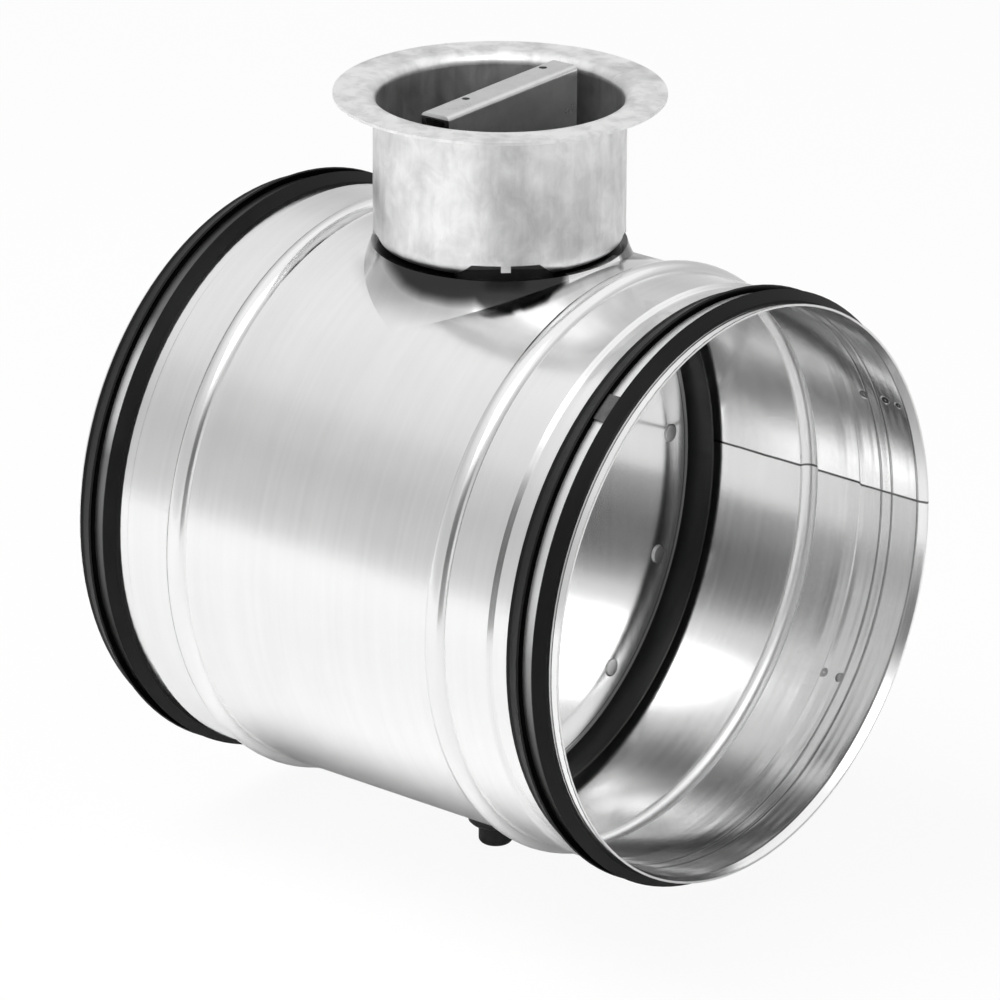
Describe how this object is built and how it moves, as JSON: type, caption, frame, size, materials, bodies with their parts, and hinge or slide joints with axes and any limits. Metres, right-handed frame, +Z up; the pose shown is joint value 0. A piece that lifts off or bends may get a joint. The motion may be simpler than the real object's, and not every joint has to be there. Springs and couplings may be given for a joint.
{
  "type": "volume control damper",
  "caption": "Round duct volume control damper: beaded body with double-lip seals, gasketed blade on an upright spindle, set by a channel handle in a flanged cup.",
  "frame": {"origin": "crossing of the duct's centre line and the spindle's centre line", "axes": "+X along the duct towards the side the blade's face looks at, +Z up the spindle towards the handle cup"},
  "size_m": [0.1686, 0.1634, 0.2178],
  "materials": {
    "galvanised_body": "bright galvanised sheet, soft streaks",
    "galvanised_cup": "galvanised sheet, blotchy matt zinc",
    "galvanised_blade": "bright galvanised sheet",
    "seal_rubber": "satin black rubber",
    "strap_steel": "bright strip",
    "bush_plastic": "dark moulded plastic",
    "plated_steel": "zinc plated"
  },
  "bodies": {
    "casing": {"duct_body": "galvanised_body", "seal_right": "seal_rubber", "seal_left": "seal_rubber", "strap_right": "strap_steel", "strap_left": "strap_steel", "strap_clip_right": "plated_steel", "strap_clip_left": "plated_steel", "cup": "galvanised_cup", "cup_rivets": "plated_steel", "upper_bush": "bush_plastic", "shaft_seal": "seal_rubber", "lower_bush": "bush_plastic"},
    "blade": {"spindle": "plated_steel", "blade_front": "galvanised_blade", "blade_rear": "galvanised_blade", "blade_gasket": "seal_rubber", "blade_rivets": "plated_steel", "saddle_upper": "plated_steel", "saddle_lower": "plated_steel", "saddle_rivets": "plated_steel", "handle": "galvanised_cup", "handle_screw": "plated_steel", "handle_washer": "plated_steel", "handle_nut": "plated_steel"}
  },
  "joints": [
    {"name": "blade_turn", "type": "hinge", "parent": "casing", "child": "blade", "pos_m": [0, 0, 0], "axis": [0, 0, 1], "range_deg": [0, 86.5]}
  ]
}
